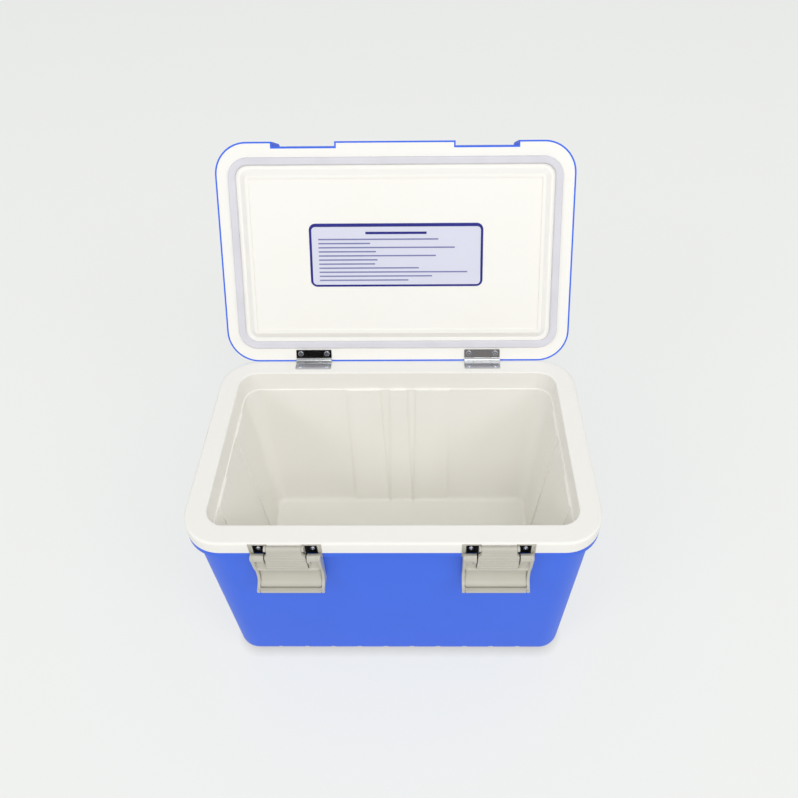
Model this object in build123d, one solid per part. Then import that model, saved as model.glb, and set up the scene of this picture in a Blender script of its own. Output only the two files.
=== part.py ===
"""Insulated vaccine carrier: a foam-filled tub with a hinged lid and two lever latches.

Millimetres, Z up. The origin is the centre of the base on the floor, X runs along the width and the
front is -Y. The lid is made closed and then turned open to its stop, where it stands at rest.
"""
from math import cos, radians, sin, tan
import os

from build123d import *

# ---- body -------------------------------------------------------------------------------------
body_height = 280.0  # floor to the top of the rim
rim_width = 450.0
rim_depth = 276.0
rim_corner = 44.0
rim_band = 16.5  # height of the white band round the rim
rim_wall = 3.0  # wall of the band and of the rim's top
rim_edge = 3.0  # rounding of the rim's upper outer edge
rim_side_land = 24.0  # flat top of the rim beside the mouth
rim_end_land = 23.5  # flat top of the rim in front of and behind the mouth
shoulder_band = 7.5  # blue band under the rim
shoulder_step = 6.5  # how far the wall stands in from the band
shell_wall = 3.0
shell_corner = 38.0
shell_draft = 2.8  # degrees
base_thickness = 6.0
base_edge = 20.0  # rounding between wall and base
groove_count = 10
groove_pitch = 34.0
groove_width = 6.0
groove_depth = 1.5
groove_height = 16.0  # the grooves run this far up the rounded edge

# ---- liner ------------------------------------------------------------------------------------
liner_wall = 3.0
mouth_corner = 22.0
mouth_edge = 1.5
collar_height = 28.0  # smooth collar under the mouth
collar_draft = 3.0  # degrees
ledge_step = 1.5  # step at the bottom of the collar
tub_depth = 242.0
tub_draft = 4.6  # degrees
tub_floor_corner = 13.0
tub_floor_edge = 8.0
pad_height = 1.5  # raised stiffening pads on the tub's walls
long_pad_width = 134.0
end_pad_near = 30.0  # two pads on each end wall, from the middle
end_pad_far = 72.0
flute_offset = 17.0  # two tapered flutes beside the middle of each long wall
flute_top_width = 13.0
flute_foot_width = 3.0
flute_depth = 1.7

# ---- lid --------------------------------------------------------------------------------------
lid_width = 442.0
lid_depth = 278.0
lid_corner = 40.0
lid_gap = 4.6  # between the rim and the closed lid's face
lid_draft = 4.0  # degrees
lid_edge = 14.0  # rounding of the lid's top
lid_wall = 2.5
lid_border = 2.0  # visible edge of the shell round the inner panel
open_angle = 116.5
panel_thickness = 2.5
seal_side_inset = 16.0  # lid edge to seal, at the sides
seal_end_inset = 18.3  # lid edge to seal, front and back
seal_width = 9.4
seal_groove = 2.0  # depth of the seal's groove
seal_squeeze_gap = 0.3  # left between the seal and the rim with the lid down
seal_clearance = 0.1
channel_wall = 1.4
plug_margin = 1.8  # seal to the foot of the plug
plug_rise = 6.0
plug_slope = 10.0  # width of the plug's sloping edge
plug_land = 4.0  # flat rim round the plug's recessed middle
plug_recess = 1.5
label_width = 217.0
label_height = 80.0
label_corner = 9.0
label_thickness = 0.5
label_shift = 1.0  # from the lid's middle to the front

# ---- hinges -----------------------------------------------------------------------------------
hinge_offset = 109.5  # from the middle of the carrier
hinge_width = 46.0
hinge_leaf = 1.2
leaf_length = 14.2  # from the pin to the leaf's free edge
knuckle_radius = 2.7
knuckle_count = 4
knuckle_gap = 0.3
hinge_pin_radius = 1.25
running_clearance = 0.05
lid_edge_past_pin = 1.6  # the lid's back edge past the pin: it lands on the rim at the stop
pin_inset = 2.5  # from the rim's back face to the pin
knuckle_relief = 0.3
screw_spread = 34.0
screw_from_pin = 9.0
screw_radius = 1.6
screw_head_radius = 3.3
screw_head_height = 0.9
hinge_screw_length = 12.0
backing_thickness = 2.0
backing_half = 4.0  # half of the backing strips' width

# ---- latches ----------------------------------------------------------------------------------
# Reach is measured forward from the rim's front face, where the latch hangs with the lid open.
latch_offset = 111.5  # from the middle of the carrier
latch_width = 73.5
bracket_margin = 1.4  # the bracket is this much wider than the lever, each side
bracket_recess = 8.0  # depth of the bracket's seat in the front wall
bracket_face = -0.9  # reach of the bracket's front
bracket_lip = 1.0  # thin frame round the bracket's front
bracket_wall = 2.5
seat_clearance = 0.3
pocket_outer = 34.0  # screw pockets, from the latch's middle
cup_back = 1.0  # black cups that line the screw pockets
cup_wall = 0.8
wing_skin = 1.2  # rim left above the bracket's wings, beside the lever's barrel
bracket_screw_spread = 57.0
bracket_screw_radius = 1.9
bracket_screw_head = 3.1
bracket_screw_rise = 2.2  # height of the head
bracket_screw_length = 12.0
bracket_screw_drop = 9.0  # pin to screws
pin_reach = 3.5
pin_drop = 3.5  # rim's top to the pin
lever_pin_radius = 1.4
barrel_radius = 3.0
barrel_half = 18.2
barrel_gap = 0.4
ear_thickness = 2.3
neck_half = 22.0  # half width of the ribbed neck at its foot
neck_gap = 0.8  # slot beside the neck
neck_wall = 3.0
neck_drop = 38.0  # pin to the ridge at the neck's foot
rib_count = 6
rib_height = 0.6
rib_pitch = 5.2
arm_drop = 10.6  # pin to the top of the arms
cheek_thickness = 3.0
lever_length = 72.4  # pin to the lever's lower end
lip_height = 4.6
lip_slot = 1.5
lever_wall = 2.8
lip_reach = 12.2  # lever's lip
cheek_groove = 1.0  # width of the grooves beside the cheeks
cheek_groove_depth = 1.2
window_drop = 6.0  # top of the arms to their windows
keeper_half = 31.0  # the keeper on the lid that the lever's lip drops over
keeper_depth = 8.0
keeper_height = 12.0
keeper_rise = 1.0  # keeper's top above the lid's
keeper_gap = 0.4  # lip to keeper with the lever up
lid_notch_width = 76.0
lid_notch_depth = 6.2

# ---- worked out from the sizes above ------------------------------------------------------------
rim_front = -rim_depth / 2
rim_back = rim_depth / 2
band_foot = body_height - rim_band
shoulder_foot = band_foot - shoulder_band
mouth_width = rim_width - 2 * rim_side_land
mouth_depth = rim_depth - 2 * rim_end_land
collar_foot = body_height - collar_height
collar_inset = collar_height * tan(radians(collar_draft))
tub_floor = body_height - tub_depth
lid_face = body_height + lid_gap
pin_y = rim_back - pin_inset
pin_z = body_height + lid_gap / 2
lid_back = pin_y + lid_edge_past_pin
lid_front = lid_back - lid_depth
lid_middle = (lid_back + lid_front) / 2
hinge_axis = Axis((0, pin_y, pin_z), (1, 0, 0))
seat_width = latch_width + 2 * bracket_margin + 2 * seat_clearance
seat_top = body_height - rim_wall
wing_top = body_height - wing_skin
pin_height = body_height - pin_drop
bracket_half = latch_width / 2 + bracket_margin
bracket_screw_height = pin_height - bracket_screw_drop
ear_inner = barrel_half + barrel_gap
ear_outer = ear_inner + ear_thickness
lever_foot = pin_height - lever_length
lip_top = lever_foot + lip_height
keeper_top = 2 * pin_height - lip_top - keeper_gap
lid_top = keeper_top - keeper_rise
lid_height = lid_top - lid_face


def outline(width, depth, corner, height):
    return Pos(0, 0, height) * RectangleRounded(width, depth, corner)


def upright_block(width, depth, corner, low, high):
    """Block with vertical walls and rounded corners."""
    return extrude(outline(width, depth, corner, low), high - low)


def tapered_block(low_size, low, high_size, high):
    """Block whose walls lean from one rounded outline (width, depth, corner) to another."""
    return loft([outline(*low_size, low), outline(*high_size, high)], ruled=True)


def box_between(low, high):
    size = [b - a for a, b in zip(low, high)]
    middle = [(a + b) / 2 for a, b in zip(low, high)]
    return Pos(*middle) * Box(*size)


def grown(size, amount):
    """An outline (width, depth, corner) moved outwards by an amount."""
    return (size[0] + 2 * amount, size[1] + 2 * amount, size[2] + amount)


def cylinder_x(radius, x_low, x_high, y, z):
    """Cylinder along X."""
    turned = Rot(0, 90, 0) * Cylinder(radius, x_high - x_low)
    return Pos((x_low + x_high) / 2, y, z) * turned


def edges_at(part, height):
    return part.edges().filter_by_position(Axis.Z, height - 0.01, height + 0.01)


def side_face(*lines):
    """Face drawn in the latch's side view: reach forward of the rim's front face, then height."""
    face = make_face(Curve() + list(lines))
    return Plane.YZ * (Pos(rim_front, 0, 0) * mirror(face, about=Plane.YZ))


def across(face, x_low, x_high):
    return Pos(x_low, 0, 0) * extrude(face, x_high - x_low, dir=(1, 0, 0))


def both_sides(face, x_low, x_high):
    """The same side-view face extruded on the left and on the right of the latch's middle."""
    return across(face, x_low, x_high) + across(face, -x_high, -x_low)


def opened(part):
    return part.rotate(hinge_axis, -open_angle)


def save(part, name):
    export_step(part, f"parts/{name}.step")


# ---- body ---------------------------------------------------------------------------------------
shell_top_size = (
    rim_width - 2 * shoulder_step,
    rim_depth - 2 * shoulder_step,
    shell_corner,
)
shell_inset = shoulder_foot * tan(radians(shell_draft))
shell_base_size = grown(shell_top_size, -shell_inset)
rim_size = (rim_width, rim_depth, rim_corner)
mouth_size = (mouth_width, mouth_depth, mouth_corner)
collar_size = grown(mouth_size, -collar_inset)
wall_top_size = grown(collar_size, -ledge_step)
tub_inset = (collar_foot - tub_floor) * tan(radians(tub_draft))
tub_floor_size = (
    wall_top_size[0] - 2 * tub_inset,
    wall_top_size[1] - 2 * tub_inset,
    tub_floor_corner,
)


def latch_seats(margin):
    """Recesses in the front wall that hold the latch brackets, grown by a margin."""
    seats = []
    for side in (-1, 1):
        middle = side * latch_offset
        half = seat_width / 2 + margin
        low = (middle - half, rim_front - 1, shoulder_foot - 1)
        high = (middle + half, rim_front + bracket_recess + margin, seat_top)
        seats.append(box_between(low, high))
        for wing in (-1, 1):
            near = ear_inner - seat_clearance - margin
            x_low, x_high = sorted((middle + wing * near, middle + wing * half))
            wing_low = (x_low, low[1], low[2])
            seats.append(box_between(wing_low, (x_high, high[1], wing_top)))
    return seats


def shell_outside():
    wall = tapered_block(shell_base_size, 0, shell_top_size, shoulder_foot)
    wall = fillet(edges_at(wall, 0), base_edge)
    return wall + upright_block(*rim_size, shoulder_foot, band_foot)


def shell_inside():
    """The room inside the shell and under the rim, which the foam and the tub share."""
    low = base_thickness
    inset = (shoulder_foot - low) * tan(radians(shell_draft))
    inner_top = grown(shell_top_size, -shell_wall)
    room = tapered_block(grown(inner_top, -inset), low, inner_top, shoulder_foot + shell_wall)
    room = fillet(edges_at(room, low), base_edge - shell_wall)
    room += upright_block(*grown(rim_size, -shell_wall), shoulder_foot + shell_wall, band_foot)
    room += upright_block(*grown(rim_size, -rim_wall), band_foot, body_height - rim_wall)
    for seat in latch_seats(rim_wall):
        room -= seat
    return room


def base_grooves():
    """Shallow grooves under the base that run up round its front and back edges."""
    low = grown(shell_base_size, -groove_depth)
    high = grown(shell_top_size, -groove_depth)
    core = tapered_block(low, groove_depth, high, shoulder_foot)
    core = fillet(edges_at(core, groove_depth), base_edge - groove_depth)
    skin = shell_outside() - core
    grooves = []
    for index in range(groove_count):
        middle = (index - (groove_count - 1) / 2) * groove_pitch
        low = (middle - groove_width / 2, rim_front, -1)
        high = (middle + groove_width / 2, rim_back, groove_height)
        grooves.append(skin & box_between(low, high))
    return grooves


def tub_room(offset):
    """The tub's inside without its pads and flutes, moved outwards by an offset."""
    floor = tub_floor - offset
    collar = tapered_block(
        grown(collar_size, offset), collar_foot - offset, grown(mouth_size, offset), body_height
    )
    walls = tapered_block(
        grown(tub_floor_size, offset), floor, grown(wall_top_size, offset), collar_foot
    )
    walls = fillet(edges_at(walls, floor), tub_floor_edge + offset)
    return collar + walls


def wall_pads():
    """Shallow pads raised on the tub's four walls, below the collar."""
    floor_size = grown(tub_floor_size, -pad_height)
    wall = tapered_block(tub_floor_size, tub_floor, wall_top_size, collar_foot)
    inner = tapered_block(floor_size, tub_floor, grown(wall_top_size, -pad_height), collar_foot)
    skin = wall - inner
    reach = rim_width
    long_band = box_between((-long_pad_width / 2, -reach, 0), (long_pad_width / 2, reach, reach))
    pads = skin & long_band
    for near, far in ((-end_pad_far, -end_pad_near), (end_pad_near, end_pad_far)):
        pads += skin & box_between((-reach, near, 0), (reach, far, reach))
    return pads


def wall_flutes():
    """Tapered flutes sunk in the long walls' pads, wide at the top."""
    deep = grown(wall_top_size, flute_depth - pad_height)
    foot = grown(tub_floor_size, flute_depth - pad_height)
    sunk = tapered_block(foot, tub_floor, deep, collar_foot)
    flutes = []
    for side in (-1, 1):
        middle = side * flute_offset
        top = flute_top_width / 2
        low = flute_foot_width / 2
        corners = [
            (middle - low, tub_floor),
            (middle + low, tub_floor),
            (middle + top, collar_foot),
            (middle - top, collar_foot),
        ]
        wedge = Plane.XZ * make_face(Polyline(*corners, close=True))
        flutes.append(sunk & extrude(wedge, rim_depth, both=True))
    return flutes


def tub_inside():
    room = tub_room(0) - wall_pads()
    for flute in wall_flutes():
        room += flute
    return room


def make_liner():
    rim = upright_block(*rim_size, band_foot, body_height)
    rim = fillet(edges_at(rim, body_height), rim_edge)
    for seat in latch_seats(0):
        rim -= seat
    room = upright_block(*grown(rim_size, -rim_wall), band_foot, body_height - rim_wall)
    for seat in latch_seats(rim_wall):
        room -= seat
    liner = (rim - room) + tub_room(liner_wall)
    liner -= tub_inside()
    mouth = [
        edge
        for edge in edges_at(liner, body_height)
        if abs(edge.center().X) < mouth_width / 2 + 1 and abs(edge.center().Y) < mouth_depth / 2 + 1
    ]
    liner = fillet(mouth, mouth_edge)
    for side in (-1, 1):
        liner -= knuckle_groove(side)
        for x in screw_places(side * hinge_offset, screw_spread):
            liner -= Pos(x, pin_y - screw_from_pin, body_height) * Cylinder(screw_radius, 20)
        for x in screw_places(side * latch_offset, bracket_screw_spread):
            liner -= bracket_screw_hole(x)
    return liner


def make_outer_shell():
    shell = shell_outside() - shell_inside()
    for seat in latch_seats(0):
        shell -= seat
    for groove in base_grooves():
        shell -= groove
    return shell


# ---- hinges -------------------------------------------------------------------------------------
def screw_places(middle, spread):
    return (middle - spread / 2, middle + spread / 2)


def knuckle_groove(side):
    """Relief for the knuckles along the back edge, cut in the rim and in the lid."""
    middle = side * hinge_offset
    half = hinge_width / 2 + 2 * knuckle_relief
    return cylinder_x(knuckle_radius + knuckle_relief, middle - half, middle + half, pin_y, pin_z)


def hinge_leaf_part(side, on_lid):
    """One leaf with every second knuckle; the lid's leaf is made in the closed pose."""
    middle = side * hinge_offset
    first = middle - hinge_width / 2
    pitch = hinge_width / knuckle_count
    if on_lid:
        low, high = lid_face - hinge_leaf, lid_face
    else:
        low, high = body_height, body_height + hinge_leaf
    free_edge = pin_y - leaf_length
    plate_end = pin_y - knuckle_radius - knuckle_relief
    leaf = box_between((first, free_edge, low), (first + hinge_width, plate_end, high))
    corners = leaf.edges().filter_by(Axis.Z).sort_by(Axis.Y)[:2]
    leaf = fillet(corners, hinge_leaf)
    bore = hinge_pin_radius + (running_clearance if on_lid else 0.0)
    for index in range(1 if on_lid else 0, knuckle_count, 2):
        x_low = first + index * pitch + knuckle_gap / 2
        x_high = first + (index + 1) * pitch - knuckle_gap / 2
        leaf += box_between((x_low, plate_end - 1, low), (x_high, pin_y, high))
        leaf += cylinder_x(knuckle_radius, x_low, x_high, pin_y, pin_z)
    leaf -= cylinder_x(bore, first - 1, first + hinge_width + 1, pin_y, pin_z)
    for x in screw_places(middle, screw_spread):
        leaf -= Pos(x, pin_y - screw_from_pin, (low + high) / 2) * Cylinder(screw_radius, 3 * hinge_leaf)
    return leaf


def pan_screw(radius, head_radius, head_height, length):
    """Pan-head screw standing on its tip, with the underside of its head at Z = 0."""
    head = Cylinder(head_radius, head_height, align=(Align.CENTER, Align.CENTER, Align.MIN))
    head = fillet(edges_at(head, head_height), head_height * 0.6)
    shank = Pos(0, 0, -length) * Cylinder(
        radius, length, align=(Align.CENTER, Align.CENTER, Align.MIN)
    )
    slot = head_radius * 0.9
    cross = Box(slot, head_height * 0.6, head_height) + Box(head_height * 0.6, slot, head_height)
    return head + shank - Pos(0, 0, head_height) * cross


def hinge_screws(side, on_lid):
    screws = []
    for x in screw_places(side * hinge_offset, screw_spread):
        screw = pan_screw(screw_radius, screw_head_radius, screw_head_height, hinge_screw_length)
        if on_lid:
            place = Pos(x, pin_y - screw_from_pin, lid_face - hinge_leaf) * Rot(180, 0, 0)
        else:
            place = Pos(x, pin_y - screw_from_pin, body_height + hinge_leaf)
        screws.append(place * screw)
    return screws


def hinge_backing(side, on_lid):
    """Steel strip behind the skin that the hinge screws bite in."""
    middle = side * hinge_offset
    y = pin_y - screw_from_pin
    low = lid_face + panel_thickness if on_lid else body_height - rim_wall - backing_thickness
    strip = box_between(
        (middle - hinge_width / 2, y - backing_half, low),
        (middle + hinge_width / 2, y + backing_half, low + backing_thickness),
    )
    for x in screw_places(middle, screw_spread):
        strip -= Pos(x, y, low) * Cylinder(screw_radius, 20)
    return strip


def hinge_pin(side):
    middle = side * hinge_offset
    half = hinge_width / 2
    return cylinder_x(hinge_pin_radius, middle - half, middle + half, pin_y, pin_z)


# ---- lid, closed ----------------------------------------------------------------------------------
def lid_block(inset, low, high, edge):
    """The lid's outside moved inwards by an inset, with its top rounded."""
    block = Pos(0, lid_middle, 0) * extrude(
        outline(lid_width - 2 * inset, lid_depth - 2 * inset, lid_corner - inset, low),
        high - low,
        taper=lid_draft,
    )
    return fillet(edges_at(block, high), edge)


def lid_notches(margin):
    """Notches in the lid's front edge, one over each latch."""
    notches = []
    for side in (-1, 1):
        middle = side * latch_offset
        half = lid_notch_width / 2 + margin
        low = (middle - half, lid_front - 5, lid_face - 1)
        high = (middle + half, lid_front + lid_notch_depth + margin, lid_top + 1)
        notches.append(box_between(low, high))
    return notches


def keepers():
    """Blocks that raise the notches' floors to the lid's top, for the levers' lips to hook over."""
    front = lid_front + lid_notch_depth
    blocks = []
    for side in (-1, 1):
        middle = side * latch_offset
        low = (middle - keeper_half, front, keeper_top - keeper_height)
        blocks.append(box_between(low, (middle + keeper_half, front + keeper_depth, keeper_top)))
    return blocks


def lid_ring(side_inset, end_inset, width, corner, low, high):
    """Ring that follows the lid's outline."""
    outer = (lid_width - 2 * side_inset, lid_depth - 2 * end_inset, corner)
    inner = grown(outer, -width)
    ring = upright_block(*outer, low, high) - upright_block(*inner, low, high)
    return Pos(0, lid_middle, 0) * ring


seal_corner = lid_corner - seal_side_inset
panel_size = (lid_width - 2 * lid_border, lid_depth - 2 * lid_border, lid_corner - lid_border)
plug_side_inset = seal_side_inset + seal_width + plug_margin
plug_end_inset = seal_end_inset + seal_width + plug_margin
plug_size = (
    lid_width - 2 * plug_side_inset,
    lid_depth - 2 * plug_end_inset,
    seal_corner - seal_width,
)


def lid_room():
    """The room inside the lid's shell."""
    room = lid_block(lid_wall, lid_face, lid_top - lid_wall, lid_edge - lid_wall)
    for cut in lid_notches(lid_wall):
        room -= cut
    return room


def make_lid_shell():
    shell = lid_block(0, lid_face, lid_top, lid_edge)
    for cut in lid_notches(0):
        shell -= cut
    for keeper in keepers():
        shell += keeper
    shell -= lid_room()
    # the panel's edge sits in a rebate in the wall's foot
    shell -= panel_plate(0)
    for side in (-1, 1):
        shell -= knuckle_groove(side)
    return shell


def panel_plate(play):
    """Flat part of the inner panel, with the notches cut round the latches."""
    plate = Pos(0, lid_middle, 0) * upright_block(
        *grown(panel_size, play), lid_face, lid_face + panel_thickness
    )
    for cut in lid_notches(lid_border):
        plate -= cut
    return plate


def plug_block(thinner, depth):
    """The plug that closes the mouth, hanging below the lid's face by a depth."""
    foot = grown(plug_size, -thinner)
    tip = grown(foot, -plug_slope)
    block = tapered_block(tip, lid_face - depth, foot, lid_face + panel_thickness)
    return Pos(0, lid_middle, 0) * block


def plug_inside():
    return plug_block(panel_thickness, plug_rise - plug_recess - panel_thickness)


def make_lid_liner():
    ring_height = lid_face + seal_groove + panel_thickness
    wall = channel_wall
    panel = panel_plate(0)
    panel += lid_ring(
        seal_side_inset - wall,
        seal_end_inset - wall,
        seal_width + 2 * wall,
        seal_corner + wall,
        lid_face,
        ring_height,
    )
    panel += plug_block(0, plug_rise)
    panel -= plug_inside()
    recess = grown(plug_size, -plug_slope - plug_land)
    panel -= Pos(0, lid_middle, 0) * upright_block(
        *recess, lid_face - plug_rise, lid_face - plug_rise + plug_recess
    )
    panel -= lid_ring(
        seal_side_inset, seal_end_inset, seal_width, seal_corner, lid_face, lid_face + seal_groove
    )
    for side in (-1, 1):
        panel -= knuckle_groove(side)
        for x in screw_places(side * hinge_offset, screw_spread):
            panel -= Pos(x, pin_y - screw_from_pin, lid_face) * Cylinder(screw_radius, 20)
    return panel


def make_gasket():
    """Rubber seal: a base in the groove and a rounded lip that meets the rim."""
    tip = body_height + seal_squeeze_gap
    side = seal_side_inset + seal_clearance
    end = seal_end_inset + seal_clearance
    width = seal_width - 2 * seal_clearance
    ring = lid_ring(side, end, width, seal_corner, tip, lid_face + seal_groove)
    return fillet(edges_at(ring, tip), 2.0)


def make_label():
    low = lid_face - plug_rise + plug_recess - label_thickness
    return Pos(0, lid_middle - label_shift, 0) * upright_block(
        label_width, label_height, label_corner, low, low + label_thickness
    )


# ---- latches, made about the carrier's middle and then moved sideways -----------------------------
bracket_back = rim_front + bracket_recess
bracket_screw_seat = bracket_back - bracket_wall


def bracket_screw_hole(x):
    hole = Rot(90, 0, 0) * Cylinder(bracket_screw_radius, 2 * bracket_screw_length)
    return Pos(x, bracket_screw_seat, bracket_screw_height) * hole


def pin_cylinder(radius, x_low, x_high):
    """Cylinder about the lever's pin."""
    return cylinder_x(radius, x_low, x_high, rim_front - pin_reach, pin_height)


def make_bracket():
    """Bracket in its seat: a plate with two open screw pockets and two ears for the lever's pin."""
    half = bracket_half
    face = rim_front - bracket_face
    low = shoulder_foot + seat_clearance
    high = seat_top - seat_clearance
    wing = wing_top - seat_clearance
    block = box_between((-half, face, low), (half, bracket_back, high))
    frame = box_between((-half, rim_front, low), (half, face, high))
    for side in (-1, 1):
        x_low, x_high = sorted((side * ear_inner, side * half))
        block += box_between((x_low, face, low), (x_high, bracket_back, wing))
        frame += box_between((x_low, rim_front, low), (x_high, face, wing))
    inside = half - bracket_lip
    frame -= box_between((-inside, rim_front - 1, low - 1), (inside, face + 1, high - bracket_lip))
    block += frame
    for pocket in screw_pockets(0, 0, 1):
        block -= pocket
    r = barrel_radius
    top = pin_height - 0.1 * r
    ear = side_face(
        Polyline(
            (bracket_face, top),
            (pin_reach + 0.99 * r, top),
            (pin_reach + 0.2 * r, pin_height - 1.2 * r),
            (pin_reach - 0.6 * r, pin_height - 2.4 * r),
            (bracket_face, pin_height - 4 * r),
            close=True,
        )
    )
    block += both_sides(ear, ear_inner, ear_outer)
    for side in (-1, 1):
        block += pin_cylinder(r, *sorted((side * ear_inner, side * ear_outer)))
    block -= pin_cylinder(lever_pin_radius, -half, half)
    for x in screw_places(0, bracket_screw_spread):
        block -= bracket_screw_hole(x)
    return block


def screw_pockets(wall, back, out):
    """The two pockets, shrunk by a wall and a back, and let out at the front and the foot."""
    pockets = []
    top = wing_top - seat_clearance - bracket_lip
    for side in (-1, 1):
        x_low, x_high = sorted((side * (ear_outer + wall), side * (pocket_outer - wall)))
        low = (x_low, rim_front - out, shoulder_foot + seat_clearance - out)
        pockets.append(box_between(low, (x_high, bracket_screw_seat - back, top - wall)))
    return pockets


def bracket_cups():
    """Black cups that line the pockets, under the heads of the bracket's screws."""
    cups = []
    linings = screw_pockets(0, 0, bracket_face)
    for x, cup, hollow in zip(
        screw_places(0, bracket_screw_spread), linings, screw_pockets(cup_wall, cup_back, 1)
    ):
        cups.append(cup - hollow - bracket_screw_hole(x))
    return cups


def bracket_screws():
    screws = []
    for x in screw_places(0, bracket_screw_spread):
        screw = pan_screw(
            bracket_screw_radius, bracket_screw_head, bracket_screw_rise, bracket_screw_length
        )
        place = Pos(x, bracket_screw_seat - cup_back, bracket_screw_height)
        screws.append(place * (Rot(90, 0, 0) * screw))
    return screws


def latch_backing():
    """Steel strip behind the rim's wall that the bracket screws bite in."""
    low = bracket_back + rim_wall
    half = latch_width / 2
    strip = box_between(
        (-half, low, bracket_screw_height - backing_half),
        (half, low + backing_thickness, bracket_screw_height + backing_half),
    )
    for x in screw_places(0, bracket_screw_spread):
        strip -= bracket_screw_hole(x)
    return strip


def from_pin(*points):
    """Points given as (reach, drop below the pin), drawn as (reach, height)."""
    return [(reach, pin_height - drop) for reach, drop in points]


def cheek_face():
    """The lever's cheek in side view: arm at the top, hollow in the middle, lip at the foot."""
    foot = lever_length
    arm = arm_drop
    ridge = neck_drop
    front = from_pin(
        (8.4, arm + 3.4), (6.2, arm + 14), (3.8, ridge), (1.4, ridge + 9), (1.0, ridge + 18)
    )
    flare = from_pin((2.6, foot - 9.5), (6.4, foot - 6.2), (lip_reach, foot - lip_height))
    back = from_pin((lip_reach, foot), (-7.4, foot), (-6.2, arm + 18), (-0.4, arm + 12.5))
    top = from_pin((-0.4, arm + 4), (2.6, arm + 0.6), (5.2, arm))
    return side_face(
        Spline(*front, *flare),
        Polyline(flare[-1], *back, top[0]),
        Spline(*top, front[0]),
    )


def lever_plate_face():
    """Section of the lever's front between the cheeks: ridge, hollow, slot and lip."""
    foot = lever_length
    ridge = neck_drop
    w = lever_wall
    hollow = from_pin(
        (4.6, ridge + 1.2), (1.6, ridge + 5), (-0.7, ridge + 12), (-0.8, ridge + 20), (1.6, foot - 9)
    )
    sill = from_pin((1.6, foot - 9), (4.2, foot - 6.6), (lip_reach - 4.6, foot - 5.4))
    inner = lip_reach - 4.6
    lip = from_pin(
        (inner, foot - 5.4),
        (inner - 0.6, foot - lip_height + 2.2),
        (inner + lip_slot, foot - lip_height + 2.2),
        (inner + lip_slot, foot - lip_height),
        (lip_reach, foot - lip_height),
        (lip_reach, foot),
        (4.0, foot),
        (0.6, foot - 5.5),
        (-0.8 - w, foot - 15),
        (-0.8 - w, ridge + 11),
        (1.6 - w, ridge + 3),
        (3.0 - w, ridge - 1.6),
        (4.0, ridge - 1.6),
        (5.4, ridge - 0.8),
        (5.4, ridge + 0.4),
        (4.6, ridge + 1.2),
    )
    return side_face(Spline(*hollow), Spline(*sill), Polyline(*lip))


def arm_face():
    """Section of the arms beside the neck."""
    arm = arm_drop
    ridge = neck_drop
    return side_face(
        Spline(*from_pin((5.2, arm), (8.0, arm + 3.4), (5.8, arm + 14), (4.4, ridge))),
        Polyline(
            *from_pin((4.4, ridge), (0.6, ridge), (0.6, arm + 14), (-0.4, arm + 11), (-0.4, arm + 4))
        ),
        Spline(*from_pin((-0.4, arm + 4), (2.6, arm + 0.6), (5.2, arm))),
    )


def neck_face():
    """Section of the neck between its barrel and the ridge."""
    r = barrel_radius
    w = neck_wall
    front = from_pin(
        (pin_reach + r, 0.0), (pin_reach + r + 0.1, r), (pin_reach + r + 0.2, 4 * r), (4.9, neck_drop)
    )
    return side_face(
        Spline(*front),
        Polyline(
            front[-1],
            *from_pin(
                (4.9 - w, neck_drop),
                (pin_reach + r - w, 4 * r),
                (pin_reach + r - w, 0.0),
                (pin_reach + r, 0.0),
            ),
        ),
    )


def make_lever():
    half = latch_width / 2
    inner = half - cheek_thickness
    lever = both_sides(cheek_face(), inner, half)
    groove = inner - cheek_groove
    lever += across(lever_plate_face(), -groove, groove)
    lever += Pos(0, cheek_groove_depth, 0) * both_sides(lever_plate_face(), groove, inner)
    slot_half = neck_half + neck_gap
    lever += both_sides(arm_face(), slot_half, inner)
    # windows through the arms' faces, open behind
    for side in (-1, 1):
        x_low, x_high = sorted((side * (slot_half + 3.0), side * (inner - 1.2)))
        high = pin_height - arm_drop - window_drop
        low = pin_height - neck_drop + 2.0
        front = rim_front - pin_reach - 2 * barrel_radius
        lever -= box_between((x_low, front, low), (x_high, rim_front - 3.4, high))
    # neck, tapered, with ribs across it
    neck = across(neck_face(), -neck_half, neck_half)
    for index in range(rib_count):
        drop = 2.0 * barrel_radius + index * rib_pitch
        reach = pin_reach + barrel_radius + 0.2 - 1.6 * (drop / neck_drop) ** 2
        neck += cylinder_x(
            rib_height, 1 - neck_half, neck_half - 1, rim_front - reach, pin_height - drop
        )
    for side in (-1, 1):
        waist = pin_height - 3.6 * barrel_radius
        wedge = make_face(
            Polyline(
                (side * barrel_half, pin_height + 2 * barrel_radius),
                (side * barrel_half, pin_height - 2.2 * barrel_radius),
                (side * (neck_half - 0.6), waist),
                (side * neck_half, pin_height - neck_drop),
                (side * (neck_half + 5), pin_height - neck_drop),
                (side * (neck_half + 5), pin_height + 2 * barrel_radius),
                close=True,
            )
        )
        neck -= extrude(Plane.XZ * wedge, 2 * rim_depth, both=True)
    neck += pin_cylinder(barrel_radius, -barrel_half, barrel_half)
    lever += neck
    lever -= pin_cylinder(lever_pin_radius + running_clearance, -half, half)
    return lever


def lever_pin():
    return pin_cylinder(lever_pin_radius, -ear_outer, ear_outer)


# ---- foam -----------------------------------------------------------------------------------------
def make_body_foam(solids):
    """The room between the shell and the tub, less everything that is buried in it."""
    foam = shell_inside() - tub_room(liner_wall)
    for solid in solids:
        foam -= solid
    return foam


def make_lid_foam(solids):
    """The room above the inner panel and inside its plug, less everything buried in it."""
    reach = rim_width
    above = box_between((-reach, -reach, lid_face + panel_thickness), (reach, reach, lid_top))
    foam = (lid_room() & above) + plug_inside()
    for solid in solids:
        foam -= solid
    return foam


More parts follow.
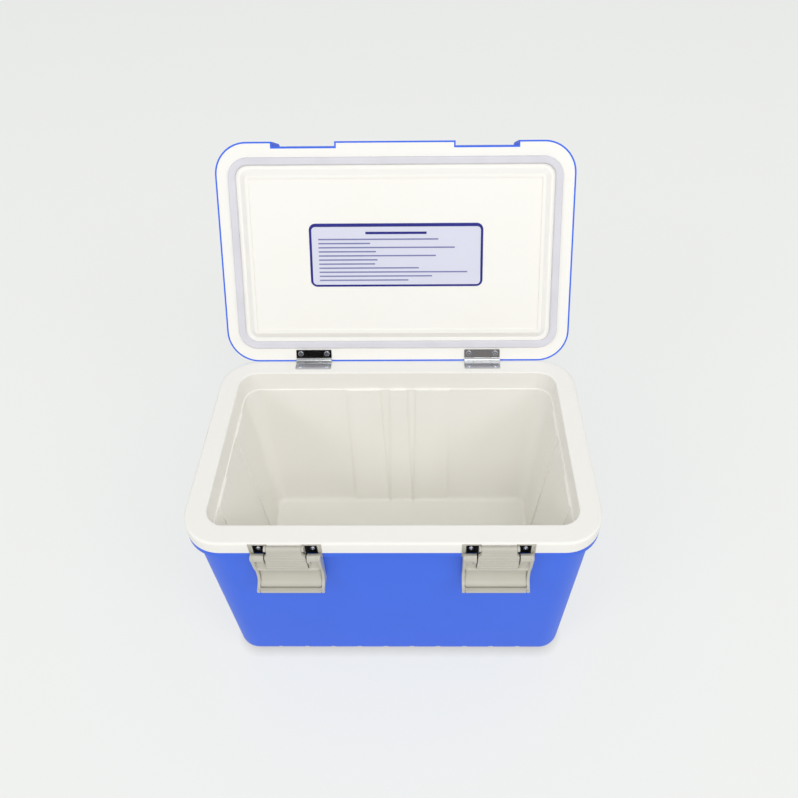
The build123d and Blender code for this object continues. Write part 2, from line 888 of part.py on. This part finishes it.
# ---- one file for each node -------------------------------------------------------------------------
os.makedirs("parts", exist_ok=True)
liner = make_liner()
save(liner, "liner")
save(make_outer_shell(), "outer_shell")

lid_shell = make_lid_shell()
lid_liner = make_lid_liner()
save(opened(lid_shell), "lid_shell")
save(opened(lid_liner), "lid_liner")
save(opened(make_gasket()), "lid_gasket")
save(opened(make_label()), "label_plate")

in_body = []
in_lid = [lid_liner]
bracket = make_bracket()
lever = make_lever()
for side, name in ((-1, "left"), (1, "right")):
    body_backing = hinge_backing(side, False)
    lid_backing = hinge_backing(side, True)
    body_screws = hinge_screws(side, False)
    lid_screws = hinge_screws(side, True)
    save(hinge_leaf_part(side, False), f"{name}_hinge_body_leaf")
    save(opened(hinge_leaf_part(side, True)), f"{name}_hinge_lid_leaf")
    save(hinge_pin(side), f"{name}_hinge_pin")
    save(Compound(children=body_screws), f"{name}_hinge_body_screws")
    save(Compound(children=[opened(screw) for screw in lid_screws]), f"{name}_hinge_lid_screws")
    save(body_backing, f"{name}_hinge_body_backing")
    save(opened(lid_backing), f"{name}_hinge_lid_backing")

    place = Pos(side * latch_offset, 0, 0)
    front_screws = [place * screw for screw in bracket_screws()]
    front_backing = place * latch_backing()
    save(place * bracket, f"{name}_latch_bracket")
    save(Compound(children=front_screws), f"{name}_bracket_screws")
    save(front_backing, f"{name}_latch_backing")
    save(place * lever_pin(), f"{name}_lever_pin")
    save(place * lever, f"{name}_latch_lever")
    save(
        Compound(children=[place * cup for cup in bracket_cups()]),
        f"{name}_bracket_cups",
    )
    in_body += [body_backing, front_backing] + body_screws + front_screws
    in_lid += [lid_backing] + lid_screws

save(make_body_foam(in_body), "body_foam")
save(opened(make_lid_foam(in_lid)), "lid_foam")
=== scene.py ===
"""Insulated vaccine carrier: moulded polyethylene shell and liner, ring seal, two lever latches."""

import math

import bpy
from mathutils import Matrix, Vector


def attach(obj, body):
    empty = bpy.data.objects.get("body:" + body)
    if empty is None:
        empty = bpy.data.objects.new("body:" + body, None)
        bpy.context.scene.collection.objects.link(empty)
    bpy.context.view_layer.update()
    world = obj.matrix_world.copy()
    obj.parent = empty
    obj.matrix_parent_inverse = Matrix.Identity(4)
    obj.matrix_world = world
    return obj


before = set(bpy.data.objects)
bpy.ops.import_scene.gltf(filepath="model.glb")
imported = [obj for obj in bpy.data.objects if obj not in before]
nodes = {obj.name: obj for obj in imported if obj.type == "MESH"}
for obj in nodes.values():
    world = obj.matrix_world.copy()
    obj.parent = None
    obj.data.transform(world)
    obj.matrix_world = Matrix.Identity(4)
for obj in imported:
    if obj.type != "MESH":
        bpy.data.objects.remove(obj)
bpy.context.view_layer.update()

MM = 0.001


# ---- materials ------------------------------------------------------------------------------------
def linear(hex_colour):
    """sRGB hex to the linear colour that shaders take."""
    channels = [int(hex_colour[i:i + 2], 16) / 255 for i in (1, 3, 5)]
    return (*[c / 12.92 if c <= 0.04045 else ((c + 0.055) / 1.055) ** 2.4 for c in channels], 1.0)


def node(tree, kind, links=(), **settings):
    """Adds a node; settings name its inputs or properties, links are (input, output socket)."""
    made = tree.nodes.new(kind)
    for name, value in settings.items():
        if hasattr(made, name) and name not in made.inputs:
            setattr(made, name, value)
        else:
            made.inputs[name.replace("_", " ")].default_value = value
    for name, source in links:
        tree.links.new(source, made.inputs[name])
    return made


def added(name, data):
    """A new object in the scene."""
    made = bpy.data.objects.new(name, data)
    bpy.context.collection.objects.link(made)
    return made


def new_material(name):
    made = bpy.data.materials.new(name)
    made.use_nodes = True
    made.node_tree.nodes.clear()
    return made, made.node_tree


def blend(tree, factor, first, second):
    """Colour output that runs from the first hex colour to the second."""
    mix = node(tree, "ShaderNodeMix", [(0, factor)], data_type="RGBA")
    mix.inputs[6].default_value = linear(first)
    mix.inputs[7].default_value = linear(second)
    return mix.outputs[2]


def surface(tree, colour, roughness, bump, **constants):
    """Principled shader that ends the tree; colour and roughness are values or sockets."""
    shader = tree.nodes.new("ShaderNodeBsdfPrincipled")
    for name, value in (("Base Color", colour), ("Roughness", roughness)):
        if isinstance(value, bpy.types.NodeSocket):
            tree.links.new(value, shader.inputs[name])
        else:
            shader.inputs[name].default_value = value
    if bump is not None:
        tree.links.new(bump, shader.inputs["Normal"])
    for name, value in constants.items():
        shader.inputs[name.replace("_", " ")].default_value = value
    out = tree.nodes.new("ShaderNodeOutputMaterial")
    tree.links.new(shader.outputs[0], out.inputs["Surface"])
    return shader


def moulded_plastic(name, colour, shade, roughness, grain_mm, grain_depth_mm, waviness_mm, **constants):
    """Plastic straight from the mould: a fine grain, slow waves from shrinkage, faint cloudy tone."""
    made, tree = new_material(name)
    place = node(tree, "ShaderNodeTexCoord").outputs["Object"]
    # one noise cell is about 1 / scale metres across
    grain = node(tree, "ShaderNodeTexNoise", [("Vector", place)], Scale=1 / (grain_mm * MM), Detail=3.0)
    waves = node(tree, "ShaderNodeTexNoise", [("Vector", place)], Scale=1 / (waviness_mm * MM), Detail=1.0)
    tone = blend(tree, waves.outputs["Fac"], colour, shade)
    gloss = node(tree, "ShaderNodeMapRange", [("Value", grain.outputs["Fac"])])
    gloss.inputs["To Min"].default_value = roughness - 0.05
    gloss.inputs["To Max"].default_value = roughness + 0.07
    slow = node(tree, "ShaderNodeBump", [("Height", waves.outputs["Fac"])], Strength=0.25, Distance=0.6 * MM)
    fine = node(
        tree,
        "ShaderNodeBump",
        [("Height", grain.outputs["Fac"]), ("Normal", slow.outputs["Normal"])],
        Strength=0.5,
        Distance=grain_depth_mm * MM,
    )
    surface(tree, tone, gloss.outputs["Result"], fine.outputs["Normal"], **constants)
    return made


# High-density polyethylene from a textured mould: a satin skin with a grain of about a millimetre.
blue_polyethylene = moulded_plastic(
    "blue_polyethylene_grained", "#2b69f0", "#2865ea", 0.46, 0.9, 0.04, 60, IOR=1.5
)
# Natural white polyethylene: smoother mould, slightly waxy and a little warm.
white_polyethylene = moulded_plastic(
    "white_polyethylene_satin", "#faf8f3", "#f8f6ef", 0.42, 1.2, 0.02, 70, IOR=1.5
)
# Glass-filled nylon for the latches: fine matt grain.
beige_nylon = moulded_plastic("beige_nylon_moulded", "#c6c3b8", "#c0bdb1", 0.45, 0.6, 0.03, 25, IOR=1.53)
# Silicone rubber: dusty matt surface.
silicone = moulded_plastic("silicone_rubber_seal", "#e3e1e8", "#d6d5dd", 0.6, 0.7, 0.02, 30, IOR=1.43)
# Polyurethane foam, sealed behind the skins.
foam = moulded_plastic("polyurethane_foam", "#efe6cc", "#e6dbbd", 0.9, 1.5, 0.3, 20, IOR=1.45)
# Vinyl film with a lilac-white ground, and the ink that is printed on it.
label_film = moulded_plastic("printed_vinyl_film", "#dfe0ef", "#dcddee", 0.38, 2.0, 0.01, 50, IOR=1.5)
navy_ink = moulded_plastic("navy_printing_ink", "#0b0b7a", "#191a86", 0.42, 0.8, 0.01, 20, IOR=1.5)
grey_ink = moulded_plastic("grey_blue_printing_ink", "#7f82b4", "#777aac", 0.42, 0.8, 0.01, 20, IOR=1.5)
# Black polypropylene cups in the latch pockets: painted shade, their black stands in for the shadow deep in
# the pockets.
painted_shade_cup = moulded_plastic("black_cup_painted_pocket_shade", "#0e0f11", "#15161a", 0.5, 0.5, 0.02, 8, IOR=1.49)


def rolled_steel(name, colour, roughness, brush_mm):
    """Stainless steel with a faint grain along X from rolling or turning."""
    made, tree = new_material(name)
    place = node(tree, "ShaderNodeTexCoord").outputs["Object"]
    turned = node(tree, "ShaderNodeMapping", [("Vector", place)])
    turned.inputs["Scale"].default_value = (0.05, 1.0, 1.0)
    lines = node(
        tree, "ShaderNodeTexNoise", [("Vector", turned.outputs[0])], Scale=1 / (brush_mm * MM), Detail=2.0
    )
    gloss = node(tree, "ShaderNodeMapRange", [("Value", lines.outputs["Fac"])])
    gloss.inputs["To Min"].default_value = roughness * 0.7
    gloss.inputs["To Max"].default_value = roughness * 1.3
    bump = node(
        tree, "ShaderNodeBump", [("Height", lines.outputs["Fac"])], Strength=0.15, Distance=0.02 * MM
    )
    surface(tree, linear(colour), gloss.outputs["Result"], bump.outputs["Normal"], Metallic=1.0)
    return made


polished_steel = rolled_steel("polished_stainless_steel", "#cfd0d2", 0.10, 0.5)
screw_steel = rolled_steel("turned_stainless_screw_steel", "#b9bcc4", 0.22, 0.4)


def give(material, *names):
    """Assigns the material to the named CAD nodes."""
    for name in names:
        mesh = nodes[name].data
        mesh.materials.clear()
        mesh.materials.append(material)


give(blue_polyethylene, "outer_shell", "lid_shell")
give(white_polyethylene, "liner", "lid_liner")
give(silicone, "lid_gasket")
give(label_film, "label_plate")
give(foam, "body_foam", "lid_foam")
for side in ("left", "right"):
    give(beige_nylon, f"{side}_latch_bracket", f"{side}_latch_lever")
    # the pocket cups are black as painted shade of the deep latch pockets
    give(painted_shade_cup, f"{side}_bracket_cups")
    give(polished_steel, f"{side}_hinge_body_leaf", f"{side}_hinge_lid_leaf", f"{side}_hinge_pin")
    give(
        screw_steel,
        f"{side}_hinge_body_screws",
        f"{side}_hinge_lid_screws",
        f"{side}_bracket_screws",
        f"{side}_lever_pin",
        f"{side}_hinge_body_backing",
        f"{side}_hinge_lid_backing",
        f"{side}_latch_backing",
    )


# ---- printing on the label ------------------------------------------------------------------------
INK_DEPTH = 0.06
LABEL_LENGTH, LABEL_DEPTH, LABEL_CORNER = 217.0, 80.0, 8.0
BORDER_SIDE, BORDER_TOP, BORDER_BOTTOM = 3.2, 4.4, 2.8
BORDER_INSET = 0.3  # label's edge to the border


def on_label():
    """Matrix from the label's own plane (x right, y up, z out of its face, metres) to the lid at rest."""
    plate = nodes["label_plate"].data
    points = [v.co for v in plate.vertices]
    low = min(points, key=lambda p: p.z).z
    high = max(points, key=lambda p: p.z).z
    edge = 1.0 * MM
    near_y = [p.y for p in points if p.z < low + edge]
    far_y = [p.y for p in points if p.z > high - edge]
    near = Vector((0, sum(near_y) / len(near_y), low))
    far = Vector((0, sum(far_y) / len(far_y), high))
    up = (far - near).normalized()
    right = Vector((1, 0, 0))
    out = right.cross(up)
    face = max(p.dot(out) for p in points)
    middle = (near + far) / 2
    middle += out * (face - middle.dot(out))
    return Matrix.Translation(middle) @ Matrix((right, up, out)).transposed().to_4x4()


def rounded_loop(left, right, bottom, top, corner, steps=10):
    """Points round a rectangle with rounded corners, anticlockwise."""
    centres = [
        (right - corner, top - corner, 0), (left + corner, top - corner, 90),
        (left + corner, bottom + corner, 180), (right - corner, bottom + corner, 270),
    ]
    turns = [(x, y, math.radians(a + 90 * i / steps)) for x, y, a in centres for i in range(steps + 1)]
    return [(x + corner * math.cos(a), y + corner * math.sin(a)) for x, y, a in turns]


def ink_piece(name, mesh, material):
    """Puts a mesh drawn in millimetres on the label's plane and lets it move with the lid."""
    mesh.transform(on_label() @ Matrix.Scale(MM, 4))
    mesh.materials.clear()
    mesh.materials.append(material)
    piece = added(name, mesh)
    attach(piece, "lid")


def make_border():
    """The navy frame round the label: a flat ring of ink with a wider top."""
    half, tall = LABEL_LENGTH / 2, LABEL_DEPTH / 2
    inset = BORDER_INSET
    outer = rounded_loop(-half + inset, half - inset, -tall + inset, tall - inset, LABEL_CORNER)
    inner = rounded_loop(
        -half + BORDER_SIDE,
        half - BORDER_SIDE,
        -tall + BORDER_BOTTOM,
        tall - BORDER_TOP,
        LABEL_CORNER - BORDER_SIDE,
    )
    count = len(outer)
    points = [(x, y, z) for z in (0.0, INK_DEPTH) for loop in (outer, inner) for x, y in loop]
    faces = []
    for i in range(count):
        j = (i + 1) % count
        lo, li, hi, hn = i, count + i, 2 * count + i, 3 * count + i
        lo2, li2, hi2, hn2 = j, count + j, 2 * count + j, 3 * count + j
        faces += [(hi, hi2, hn2, hn), (lo, li, li2, lo2), (lo, lo2, hi2, hi), (li, hn, hn2, li2)]
    mesh = bpy.data.meshes.new("label_border")
    mesh.from_pydata(points, [], faces)
    ink_piece("label_border", mesh, navy_ink)


def ruled_lines_tree():
    """Geometry Nodes: printed lines below each other, left-aligned, each with its own random length."""
    tree = bpy.data.node_groups.new("ruled_lines", "GeometryNodeTree")
    face = tree.interface
    face.new_socket("Geometry", in_out="OUTPUT", socket_type="NodeSocketGeometry")
    for name, kind in (
        ("Count", "NodeSocketInt"), ("Pitch", "NodeSocketFloat"), ("Shortest", "NodeSocketFloat"),
        ("Longest", "NodeSocketFloat"), ("Height", "NodeSocketFloat"), ("Depth", "NodeSocketFloat"),
        ("Seed", "NodeSocketInt"), ("Material", "NodeSocketMaterial"),
    ):
        face.new_socket(name, in_out="INPUT", socket_type=kind)
    given = node(tree, "NodeGroupInput").outputs
    down = node(tree, "ShaderNodeMath", [(0, given["Pitch"])], operation="MULTIPLY")
    down.inputs[1].default_value = -1.0
    step = node(tree, "ShaderNodeCombineXYZ", [("Y", down.outputs[0])])
    rows = node(tree, "GeometryNodeMeshLine", [("Count", given["Count"]), ("Offset", step.outputs[0])])
    bar_size = node(tree, "ShaderNodeCombineXYZ", [("Y", given["Height"]), ("Z", given["Depth"])], X=1.0)
    bar = node(tree, "GeometryNodeMeshCube", [("Size", bar_size.outputs[0])])
    lift = node(tree, "ShaderNodeMath", [(0, given["Depth"])], operation="MULTIPLY")
    lift.inputs[1].default_value = 0.5
    shift = node(tree, "ShaderNodeCombineXYZ", [("Z", lift.outputs[0])], X=0.5)
    placed = node(
        tree, "GeometryNodeTransform", [("Geometry", bar.outputs["Mesh"]), ("Translation", shift.outputs[0])]
    )
    length = node(
        tree,
        "FunctionNodeRandomValue",
        [("Min", given["Shortest"]), ("Max", given["Longest"]), ("Seed", given["Seed"])],
        data_type="FLOAT",
    )
    stretch = node(tree, "ShaderNodeCombineXYZ", Y=1.0, Z=1.0)
    tree.links.new(length.outputs[1], stretch.inputs["X"])
    lines = node(
        tree,
        "GeometryNodeInstanceOnPoints",
        [("Points", rows.outputs[0]), ("Instance", placed.outputs[0]), ("Scale", stretch.outputs[0])],
    )
    real = node(tree, "GeometryNodeRealizeInstances", [("Geometry", lines.outputs[0])])
    ink = given["Material"]
    inked = node(tree, "GeometryNodeSetMaterial", [("Geometry", real.outputs[0]), ("Material", ink)])
    node(tree, "NodeGroupOutput", [("Geometry", inked.outputs[0])])
    return tree


def make_lines(name, tree, top_left, material, **values):
    """Runs the tree once and keeps its result as a plain mesh."""
    host = added(name + "_host", bpy.data.meshes.new(name + "_host"))
    modifier = host.modifiers.new("lines", "NODES")
    modifier.node_group = tree
    for socket in tree.interface.items_tree:
        if socket.in_out == "INPUT":
            modifier[socket.identifier] = material if socket.name == "Material" else values[socket.name]
    drawn = host.evaluated_get(bpy.context.evaluated_depsgraph_get())
    mesh = bpy.data.meshes.new_from_object(drawn)
    host.modifiers.remove(modifier)
    bpy.data.objects.remove(host)
    mesh.name = name
    mesh.transform(Matrix.Translation((*top_left, 0)))
    ink_piece(name, mesh, material)


make_border()
ruled = ruled_lines_tree()
make_lines(
    "label_heading", ruled, (-38, LABEL_DEPTH / 2 - 12.2), navy_ink,
    Count=1, Pitch=5.1, Shortest=76.0, Longest=76.0, Height=3.0, Depth=INK_DEPTH, Seed=1,
)
make_lines(
    "label_lines", ruled, (-97, LABEL_DEPTH / 2 - 20.0), grey_ink,
    Count=11, Pitch=5.15, Shortest=46.0, Longest=192.0, Height=1.7, Depth=INK_DEPTH, Seed=4,
)


# ---- stage ----------------------------------------------------------------------------------------
EVEN_SHARE = 0.7  # part of the floor's look that the lamps' shadows don't darken
FLOOR_REACH = 6.0
CARD_DISTANCE, CARD_LOW, CARD_HIGH = 2.5, 0.35, 1.25
AIM = Vector((0, 0, 0.2))  # where the lamps point
PICTURE = 798  # width and height of the picture in pixels


def shown(tree):
    """1 for rays that show the background: straight to the camera, or by way of metal or glass."""
    path = node(tree, "ShaderNodeLightPath").outputs
    found = path["Is Camera Ray"]
    for kind in ("Is Glossy Ray", "Is Transmission Ray"):
        either = node(tree, "ShaderNodeMath", [(0, found), (1, path[kind])], operation="MAXIMUM")
        found = either.outputs[0]
    return found


def floor_material():
    """Pale paper: the camera sees its even colour, darkened near the base by a painted contact shadow, with
    part of the real shading so the shadow stays.
    """
    made, tree = new_material("pale_studio_floor")
    paper = node(tree, "ShaderNodeBsdfDiffuse", Color=linear("#eae9e4"))
    # painted contact shadow: the seen colour is darker within 14 mm of the base, where little light gets
    # under its rounded edge
    near = node(tree, "ShaderNodeAmbientOcclusion", Distance=14 * MM, samples=12, only_local=False)
    tone = blend(tree, near.outputs["AO"], "#c4c1b5", "#f8faf8")
    even = node(tree, "ShaderNodeEmission", [("Color", tone)], Strength=1.0)
    share = node(tree, "ShaderNodeMath", [(0, shown(tree))], operation="MULTIPLY")
    share.inputs[1].default_value = EVEN_SHARE
    mix = node(
        tree, "ShaderNodeMixShader", [(0, share.outputs[0]), (1, paper.outputs[0]), (2, even.outputs[0])]
    )
    node(tree, "ShaderNodeOutputMaterial", [("Surface", mix.outputs[0])])
    return made


def make_sheet(name, corners, material):
    """A flat four-cornered piece of the stage."""
    mesh = bpy.data.meshes.new(name)
    mesh.from_pydata(corners, [], [(0, 1, 2, 3)])
    mesh.materials.append(material)
    added(name, mesh)


def make_floor():
    r = FLOOR_REACH
    make_sheet("floor", [(-r, -r, 0), (r, -r, 0), (r, r, 0), (-r, r, 0)], floor_material())


def area_light(name, place, size, watts):
    """A square lamp; place and size in metres."""
    light = bpy.data.lights.new(name, "AREA")
    light.shape = "SQUARE"
    light.size = size
    light.energy = watts
    lamp = added(name, light)
    lamp.location = place
    lamp.rotation_euler = (AIM - Vector(place)).to_track_quat("-Z", "Y").to_euler()


def make_world():
    """A pale room: one colour where it is seen, a weaker and nearly white one where it lights things."""
    world = bpy.data.worlds.new("studio")
    bpy.context.scene.world = world
    world.use_nodes = True
    tree = world.node_tree
    tree.nodes.clear()
    seen = node(tree, "ShaderNodeBackground", Color=linear("#ebedec"), Strength=1.0)
    lit = node(tree, "ShaderNodeBackground", Color=(0.98, 0.99, 1.0, 1.0), Strength=0.51)
    mix = node(tree, "ShaderNodeMixShader", [(0, shown(tree)), (1, lit.outputs[0]), (2, seen.outputs[0])])
    node(tree, "ShaderNodeOutputWorld", [("Surface", mix.outputs[0])])


def make_card(name, left, right, shade):
    """A dark card in front of the carrier that only reflections show, so the steel mirrors it."""
    made, tree = new_material(name)
    path = node(tree, "ShaderNodeLightPath").outputs
    clear = node(tree, "ShaderNodeBsdfTransparent")
    dark = node(tree, "ShaderNodeEmission", Color=linear(shade), Strength=1.0)
    mirrored = path["Is Glossy Ray"]
    mix = node(tree, "ShaderNodeMixShader", [(0, mirrored), (1, clear.outputs[0]), (2, dark.outputs[0])])
    node(tree, "ShaderNodeOutputMaterial", [("Surface", mix.outputs[0])])
    places = [(left, CARD_LOW), (right, CARD_LOW), (right, CARD_HIGH), (left, CARD_HIGH)]
    make_sheet(name, [(x, -CARD_DISTANCE, z) for x, z in places], made)


def make_camera():
    """Looks down into the open carrier; pitch is down from the level, focal length and shift in pixels."""
    place = Vector((36.0, -564.5, 945.7)) * MM
    yaw, pitch, roll = (math.radians(a) for a in (-0.92, 42.12, -0.84))
    focal, shift_x, shift_y = 739, -17.6, -56.0
    level = math.cos(pitch)
    forward = Vector((math.sin(yaw) * level, math.cos(yaw) * level, -math.sin(pitch)))
    right = Vector((math.cos(yaw), -math.sin(yaw), 0))
    up = right.cross(forward)
    turned_right = right * math.cos(roll) + up * math.sin(roll)
    turned_up = up * math.cos(roll) - right * math.sin(roll)
    view = bpy.data.cameras.new("camera")
    view.sensor_width = 36
    view.lens = view.sensor_width * focal / PICTURE
    view.shift_x = shift_x / PICTURE
    view.shift_y = shift_y / PICTURE
    camera = added("camera", view)
    axes = Matrix((turned_right, turned_up, -forward)).transposed().to_4x4()
    camera.matrix_world = Matrix.Translation(place) @ axes
    bpy.context.scene.camera = camera


make_floor()
make_world()
make_card("black_card", -1.3, -0.1, "#141414")
make_card("grey_card", -0.1, 1.1, "#8d8987")
area_light("key", (0.4, -2.4, 3.35), 2.0, 40)
area_light("right_fill", (2.7, -2.2, 3.0), 1.6, 34)
area_light("left_fill", (-2.6, -2.3, 2.8), 1.6, 32)
make_camera()
bpy.context.scene.view_settings.view_transform = "Standard"
